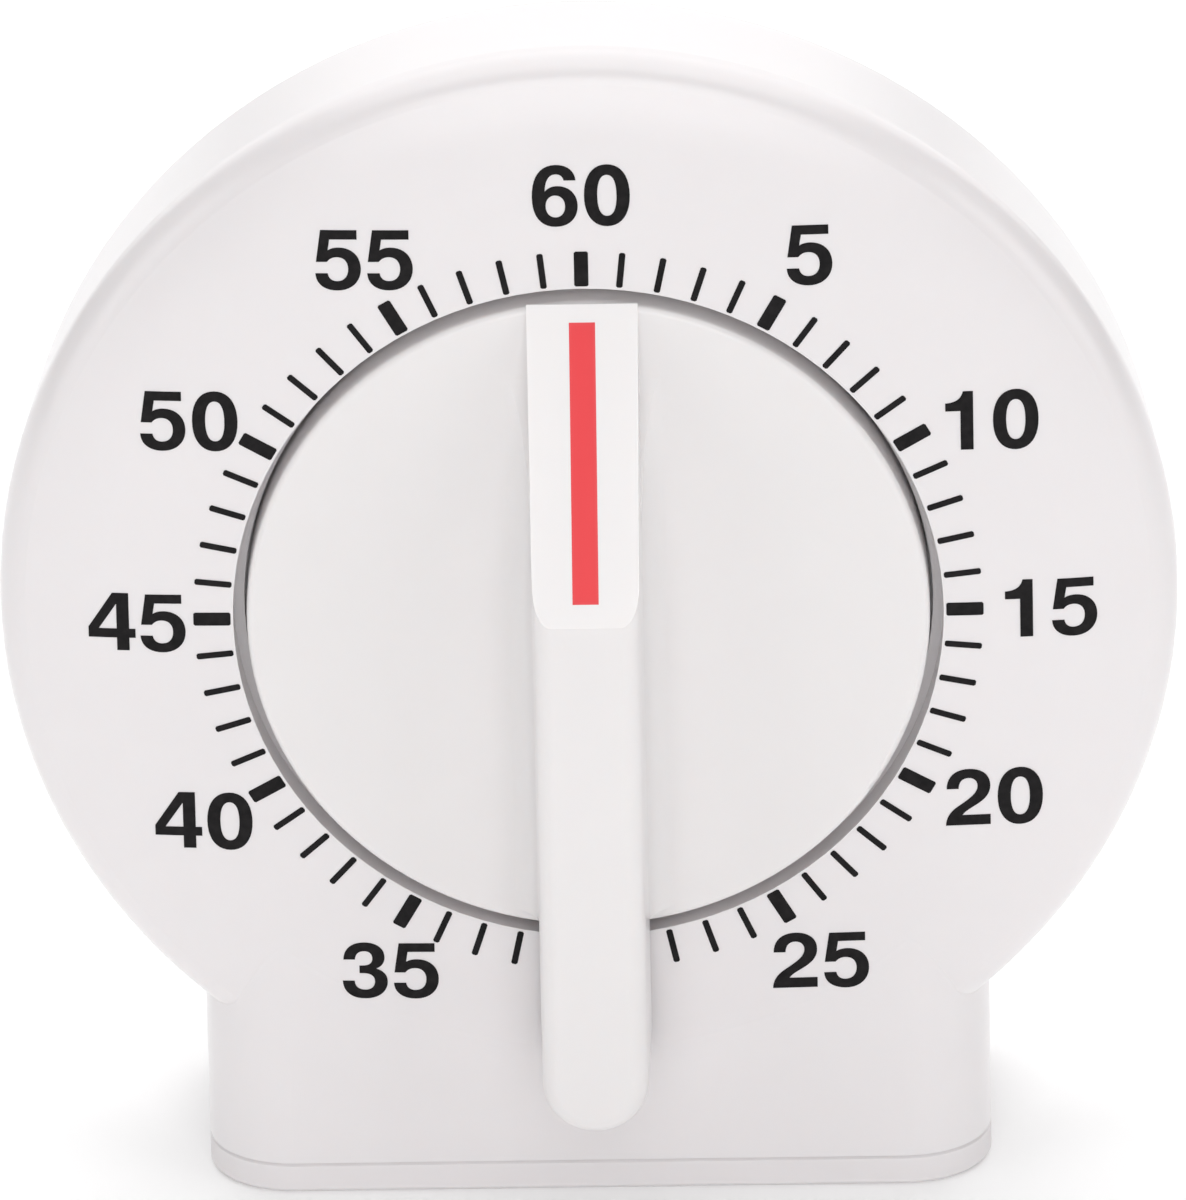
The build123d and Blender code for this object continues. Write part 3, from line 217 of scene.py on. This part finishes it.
def metal(name, colour, shade, roughness, stretch):
    """Drawn or turned metal: a brushed grain along one way, dull stains, bright edges."""
    r = Recipe(name)
    brushed = r.noise(BRUSH_LINE, detail=2.0, stretch=stretch)
    stain = r.noise(STAIN, detail=4.0)
    edge = r.edges(BRIGHT_CORNER)
    base = r.mix(r.spread(stain, 0.0, 1.0, 0.35, 0.7), linear(*colour), linear(*shade))
    base = r.mix(r.spread(edge, 0.0, 0.5, 0.2, 1.0), base, linear(*colour))
    r.link(base, r.shader.inputs["Base Color"])
    r.link(r.spread(brushed, roughness - 0.07, roughness + 0.1), r.shader.inputs["Roughness"])
    r.bump((brushed, BRUSH_HEIGHT, 0.5))
    r.set(Metallic=1.0)
    return r.material


def ink(name, colour, shade, roughness):
    """Printed ink: slightly mottled cover with a matt skin."""
    r = Recipe(name)
    cover = r.noise(INK_COVER, detail=4.0)
    skin = r.noise(INK_SKIN, detail=2.0)
    base = r.mix(r.spread(cover, 0.0, 1.0), linear(*colour), linear(*shade))
    r.link(base, r.shader.inputs["Base Color"])
    r.link(r.spread(skin, roughness - 0.05, roughness + 0.08), r.shader.inputs["Roughness"])
    r.bump((skin, SKIN_HEIGHT, 0.4))
    r.set(IOR=INK_IOR, Specular_IOR_Level=INK_SHINE)
    return r.material


WHITE_CASE = plastic("white_case_plastic", (233, 229, 230), (231, 227, 228), (241, 238, 237), 0.3)
WHITE_BASE = plastic(
    "white_base_plastic", (231, 227, 228), (228, 224, 225), (240, 237, 236), 0.5, relief=0.6, gloss=0.1
)
WHITE_KNOB = plastic("white_knob_plastic", (234, 231, 231), (232, 229, 229), (243, 240, 239), 0.3, gloss=0.4)
RED_INSERT = plastic(
    "red_insert_plastic", (236, 38, 48), (228, 33, 43), (242, 84, 90), 0.4,
    grain=FINE_SPARK, glow=0.05, gloss=0.1,
)
BLACK_INK = ink("black_dial_ink", (22, 21, 22), (34, 32, 33), 0.48)
STEEL = metal("plain_steel", (196, 198, 202), (150, 150, 150), 0.3, (1, 6, 1))
PLATE_STEEL = metal("plated_sheet_steel", (206, 205, 200), (176, 170, 158), 0.36, (8, 1, 1))
SPRING_STEEL = metal("blued_spring_steel", (120, 124, 140), (84, 86, 98), 0.28, (1, 8, 1))
BRASS = metal("stamped_brass", (214, 178, 104), (168, 128, 66), 0.3, (5, 1, 1))
BELL_STEEL = metal("nickelled_bell_steel", (200, 198, 190), (164, 160, 148), 0.24, (1, 1, 6))

FINISH_OF_SLOT = {
    "case_plastic": WHITE_CASE,
    "base_plastic": WHITE_BASE,
    "knob_plastic": WHITE_KNOB,
    "pointer_red": RED_INSERT,
    "steel": STEEL,
    "plate_steel": PLATE_STEEL,
    "spring_steel": SPRING_STEEL,
    "brass": BRASS,
    "gong_metal": BELL_STEEL,
}

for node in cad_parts.values():
    for place, material in enumerate(node.data.materials):
        node.data.materials[place] = FINISH_OF_SLOT[material.name.split(".")[0]]


# ---------------------------------------------------------------- the printed scale

# Strokes, in mm
TICK_INNER = 28.8
TICK_LENGTH = 3.0
MINOR_WIDTH = 0.52
MAJOR_WIDTH = 1.14
TICK_CORNER = 0.12
MINUTES = 60
MAJOR_EVERY = 5

# Numerals: height in mm, how much wider than drawn, and the drawing's own step and height
DIGIT_HEIGHT = 5.05
DIGIT_WIDEN = 1.05
DIGIT_ADVANCE = 556
DIGIT_CAP = 710
CURVE_STEPS = 10
CLOSED_WITHIN = 1e-6

# The film of ink, in mm: its front above and its back below the shell's skin, and the grid it bends along
PRINT_LIFT = 0.025
PRINT_SINK = 0.02
PRINT_STEP = 0.7
WELD_WITHIN = 1e-4
RAY_START = 20

# Middle of each number, across and up from the dial's middle in mm, as the photograph spaces them
NUMERAL_SPOTS = {
    60: (0.1, 36.6),
    5: (18.3, 31.2),
    10: (32.5, 16.5),
    15: (37.1, -0.1),
    20: (32.5, -16.8),
    25: (18.3, -31.2),
    30: (0.0, -36.4),
    35: (-16.6, -31.6),
    40: (-31.4, -18.0),
    45: (-36.3, -0.3),
    50: (-31.7, 17.4),
    55: (-17.3, 31.3),
}

# Bold upright digits, 710 units high: an outline starts at a point, then runs through straight points (x, y)
# and curves (two handles and an end). Only the digits that the dial needs are here.
DIGITS = {
    "0": (
        [(278, 710), ((430, 710), (523, 575), (523, 346)), ((523, 116), (430, -19), (278, -19)),
         ((126, -19), (33, 116), (33, 346)), ((33, 575), (126, 710), (278, 710))],
        [(278, 588), ((345, 588), (381, 505), (381, 346)), ((381, 186), (345, 103), (278, 103)),
         ((211, 103), (175, 186), (175, 346)), ((175, 505), (211, 588), (278, 588))],
    ),
    "1": (
        [(378, 0), (378, 710), (268, 710), ((250, 612), (180, 572), (78, 568)),
         (78, 472), (240, 472), (240, 0)],
    ),
    "2": (
        [(511, 128), (511, 0), (26, 0), ((30, 105), (78, 178), (160, 240)),
         ((300, 345), (372, 405), (372, 493)), ((372, 558), (335, 596), (276, 596)),
         ((208, 596), (170, 548), (168, 462)), (38, 462), ((40, 618), (130, 710), (285, 710)),
         ((425, 710), (511, 625), (511, 500)), ((511, 392), (455, 325), (372, 266)),
         ((295, 212), (235, 178), (206, 128))],
    ),
    "3": (
        [(27, 212), (157, 212), ((160, 132), (205, 94), (272, 94)), ((336, 94), (378, 140), (378, 205)),
         ((378, 275), (332, 312), (250, 312)), (212, 312), (212, 410), (250, 410),
         ((316, 410), (354, 442), (354, 503)), ((354, 562), (322, 597), (266, 597)),
         ((205, 597), (170, 560), (166, 488)), (40, 488), ((44, 628), (130, 710), (268, 710)),
         ((402, 710), (488, 635), (488, 520)), ((488, 450), (455, 398), (394, 372)),
         ((470, 345), (516, 290), (516, 205)), ((516, 70), (415, -19), (272, -19)),
         ((122, -19), (30, 65), (27, 212))],
    ),
    "4": (
        [(327, 0), (462, 0), (462, 156), (530, 156), (530, 268), (462, 268), (462, 710), (285, 710),
         (22, 282), (22, 156), (327, 156)],
        [(327, 268), (134, 268), (327, 575)],
    ),
    "5": (
        [(88, 698), (478, 698), (478, 588), (184, 588), (164, 458), ((196, 482), (236, 492), (282, 492)),
         ((422, 492), (516, 390), (516, 242)), ((516, 85), (412, -19), (262, -19)),
         ((120, -19), (32, 58), (27, 186)), (160, 186), ((168, 126), (204, 92), (260, 92)),
         ((334, 92), (380, 148), (380, 238)), ((380, 326), (334, 378), (262, 378)),
         ((214, 378), (178, 358), (154, 322)), (36, 322)],
    ),
    "6": (
        [(502, 528), ((490, 645), (410, 710), (290, 710)), ((120, 710), (31, 570), (31, 335)),
         ((31, 110), (120, -19), (282, -19)), ((425, -19), (520, 80), (520, 228)),
         ((520, 365), (430, 462), (305, 462)), ((250, 462), (202, 440), (170, 400)),
         ((174, 530), (216, 601), (288, 601)), ((335, 601), (365, 575), (374, 528))],
        [(280, 352), ((342, 352), (385, 300), (385, 222)), ((385, 145), (342, 92), (282, 92)),
         ((221, 92), (177, 148), (177, 226)), ((177, 302), (219, 352), (280, 352))],
    ),
}


def traced(outline):
    """The outline's points, its curves cut into short chords."""
    points = [Vector(outline[0])]
    for step in outline[1:]:
        if isinstance(step[0], tuple):
            p0, (p1, p2, p3) = points[-1], [Vector(p) for p in step]
            for k in range(1, CURVE_STEPS + 1):
                t = k / CURVE_STEPS
                points.append(
                    (1 - t) ** 3 * p0 + 3 * t * (1 - t) ** 2 * p1 + 3 * t * t * (1 - t) * p2 + t**3 * p3
                )
        else:
            points.append(Vector(step))
    if (points[0] - points[-1]).length < CLOSED_WITHIN:
        points.pop()
    return points


def numeral_loops(text, centre):
    """Closed loops of a number standing upright with its middle at centre, in mm on the face."""
    across = DIGIT_HEIGHT / DIGIT_CAP * DIGIT_WIDEN
    up = DIGIT_HEIGHT / DIGIT_CAP
    loops = []
    for place, digit in enumerate(text):
        shift = (place - len(text) / 2) * DIGIT_ADVANCE
        for outline in DIGITS[digit]:
            loops.append(
                [
                    (centre[0] + (p.x + shift) * across, centre[1] + (p.y - DIGIT_CAP / 2) * up)
                    for p in traced(outline)
                ]
            )
    return loops


def tick_loop(minute):
    """The closed loop of one minute's stroke, its corners clipped."""
    angle = 2 * pi * minute / MINUTES
    out = Vector((sin(angle), cos(angle)))
    side = Vector((cos(angle), -sin(angle))) * (MAJOR_WIDTH if minute % MAJOR_EVERY == 0 else MINOR_WIDTH) / 2
    near, far = out * TICK_INNER, out * (TICK_INNER + TICK_LENGTH)
    nip, tuck = out * TICK_CORNER, side.normalized() * TICK_CORNER
    corners = [
        near + nip - side, near - side + tuck, near + side - tuck, near + nip + side,
        far - nip + side, far + side - tuck, far - side + tuck, far - nip - side,
    ]
    return [tuple(p) for p in corners]


def face_finder():
    """A ray tree of the front shell at rest."""
    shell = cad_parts["front_shell"].data
    shell.calc_loop_triangles()
    return BVHTree.FromPolygons(
        [v.co.copy() for v in shell.vertices], [tuple(t.vertices) for t in shell.loop_triangles]
    )


def print_piece(name, loops):
    """A thin printed film, filled from the loops and laid on the shell's domed face."""
    curve = bpy.data.curves.new(name, "CURVE")
    curve.dimensions = "2D"
    curve.fill_mode = "BOTH"
    for loop in loops:
        spline = curve.splines.new("POLY")
        spline.points.add(len(loop) - 1)
        for point, (x, z) in zip(spline.points, loop):
            point.co = (x, z, 0, 1)
        spline.use_cyclic_u = True
    flat = bpy.data.objects.new(name + "_flat", curve)
    bpy.context.scene.collection.objects.link(flat)
    mesh = bpy.data.meshes.new_from_object(flat.evaluated_get(bpy.context.evaluated_depsgraph_get()))
    bpy.data.objects.remove(flat)

    # cut into a grid, so that the flat film can follow the dome
    work = bmesh.new()
    work.from_mesh(mesh)
    bmesh.ops.remove_doubles(work, verts=work.verts, dist=WELD_WITHIN)
    for way in (Vector((1, 0, 0)), Vector((0, 1, 0))):
        reach = [v.co.dot(way) for v in work.verts]
        at = (min(reach) // PRINT_STEP + 1) * PRINT_STEP
        while at < max(reach):
            everything = work.verts[:] + work.edges[:] + work.faces[:]
            bmesh.ops.bisect_plane(work, geom=everything, plane_co=way * at, plane_no=way)
            at += PRINT_STEP
    bmesh.ops.recalc_face_normals(work, faces=work.faces[:])
    film = bmesh.ops.extrude_face_region(work, geom=work.faces[:])
    front = {v for v in film["geom"] if isinstance(v, bmesh.types.BMVert)}
    for v in work.verts:
        start = Vector((DIAL.x + v.co.x * MM, DIAL.y - RAY_START * MM, DIAL.z + v.co.y * MM))
        hit = FACE.ray_cast(start, Vector((0, 1, 0)))[0]
        v.co = Vector((start.x, hit.y + (-PRINT_LIFT if v in front else PRINT_SINK) * MM, start.z))
    bmesh.ops.recalc_face_normals(work, faces=work.faces[:])
    work.to_mesh(mesh)
    work.free()
    mesh.name = name
    piece = bpy.data.objects.new(name, mesh)
    bpy.context.scene.collection.objects.link(piece)
    piece.data.materials.clear()
    piece.data.materials.append(BLACK_INK)
    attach(piece, "root")


FACE = face_finder()
print_piece("minute_ticks", [tick_loop(m) for m in range(MINUTES)])
for minute, spot in NUMERAL_SPOTS.items():
    print_piece(f"numeral_{minute}", numeral_loops(str(minute), spot))


# ---------------------------------------------------------------- studio


# Softboxes aimed at the dial: width and height, place, and power, in metres and watts
LIGHTS = {
    "key_front": ((0.9, 0.85), (0.03, -1.2, 0.54), 6.1),
    "fill_left": ((0.7, 0.7), (-1.1, -0.62, 0.4), 1.8),
    "fill_right": ((0.7, 0.7), (1.1, -0.62, 0.4), 2.2),
    "overhead": ((1.8, 1.6), (0.0, 0.15, 1.3), 14.4),
    "back_panel": ((3.2, 1.6), (0.0, 1.3, 0.82), 19.0),
}
AMBIENT = 0.14
AMBIENT_TINT = (1.0, 0.99, 0.99)
FLOOR_HALF = 6.0
FLOOR_WHITE = (250, 250, 250)
FLOOR_SHADE = (248, 248, 248)
FLOOR_GLOW = 0.08


def area_light(name, size, place, power):
    lamp = bpy.data.lights.new(name, "AREA")
    lamp.shape = "RECTANGLE"
    lamp.size, lamp.size_y = size
    lamp.energy = power
    made = bpy.data.objects.new(name, lamp)
    made.location = place
    made.rotation_euler = (DIAL - Vector(place)).to_track_quat("-Z", "Y").to_euler()
    bpy.context.scene.collection.objects.link(made)


def ambient_light():
    world = bpy.data.worlds.new("studio")
    bpy.context.scene.world = world
    world.use_nodes = True
    background = world.node_tree.nodes["Background"]
    background.inputs["Color"].default_value = (*AMBIENT_TINT, 1)
    background.inputs["Strength"].default_value = AMBIENT


def floor_sheet():
    """A pale seamless floor with a faint mottle, just bright enough to lift the shadows under the object."""
    mesh = bpy.data.meshes.new("studio_floor")
    low, half = CAD_LOW.z, FLOOR_HALF
    mesh.from_pydata(
        [(-half, -half, low), (half, -half, low), (half, half, low), (-half, half, low)], [], [(0, 1, 2, 3)]
    )
    made = bpy.data.objects.new("studio_floor", mesh)
    bpy.context.scene.collection.objects.link(made)
    r = Recipe("pale_floor")
    mottle = r.noise(FLOOR_MOTTLE, detail=2.0)
    base = r.mix(r.spread(mottle, 0.0, 1.0), linear(*FLOOR_WHITE), linear(*FLOOR_SHADE))
    r.link(base, r.shader.inputs["Base Color"])
    r.set(Roughness=0.85, Emission_Color=(1, 1, 1, 1), Emission_Strength=FLOOR_GLOW)
    made.data.materials.append(r.material)


for light, (size, place, power) in LIGHTS.items():
    area_light(light, size, place, power)
ambient_light()
floor_sheet()

# ---------------------------------------------------------------- camera

# The photograph's viewpoint: angles round, above and tilted, distance in metres, sensor and lens in mm
AZIMUTH = radians(1.0)
ELEVATION = radians(24.5)
ROLL = radians(1.2)
DISTANCE = 1.75
SENSOR = 36.0
LENS = 652.5
AIM_RIGHT = 0.40 * MM
AIM_UP = 1.13 * MM
CLIP_NEAR = 0.05
CLIP_FAR = 50.0

back = Vector((sin(AZIMUTH) * cos(ELEVATION), -cos(AZIMUTH) * cos(ELEVATION), sin(ELEVATION)))
right = Vector((cos(AZIMUTH), sin(AZIMUTH), 0))
up = back.cross(right)
camera_data = bpy.data.cameras.new("camera")
camera_data.lens = LENS
camera_data.sensor_width = SENSOR
camera_data.clip_start = CLIP_NEAR
camera_data.clip_end = CLIP_FAR
camera = bpy.data.objects.new("camera", camera_data)
bpy.context.scene.collection.objects.link(camera)
axes = Matrix((right, up, back)).transposed().to_4x4()
axes = axes @ Matrix.Rotation(-ROLL, 4, "Z")
camera.matrix_world = Matrix.Translation(DIAL + back * DISTANCE + right * AIM_RIGHT + up * AIM_UP) @ axes
bpy.context.scene.camera = camera
bpy.context.scene.view_settings.view_transform = "Standard"
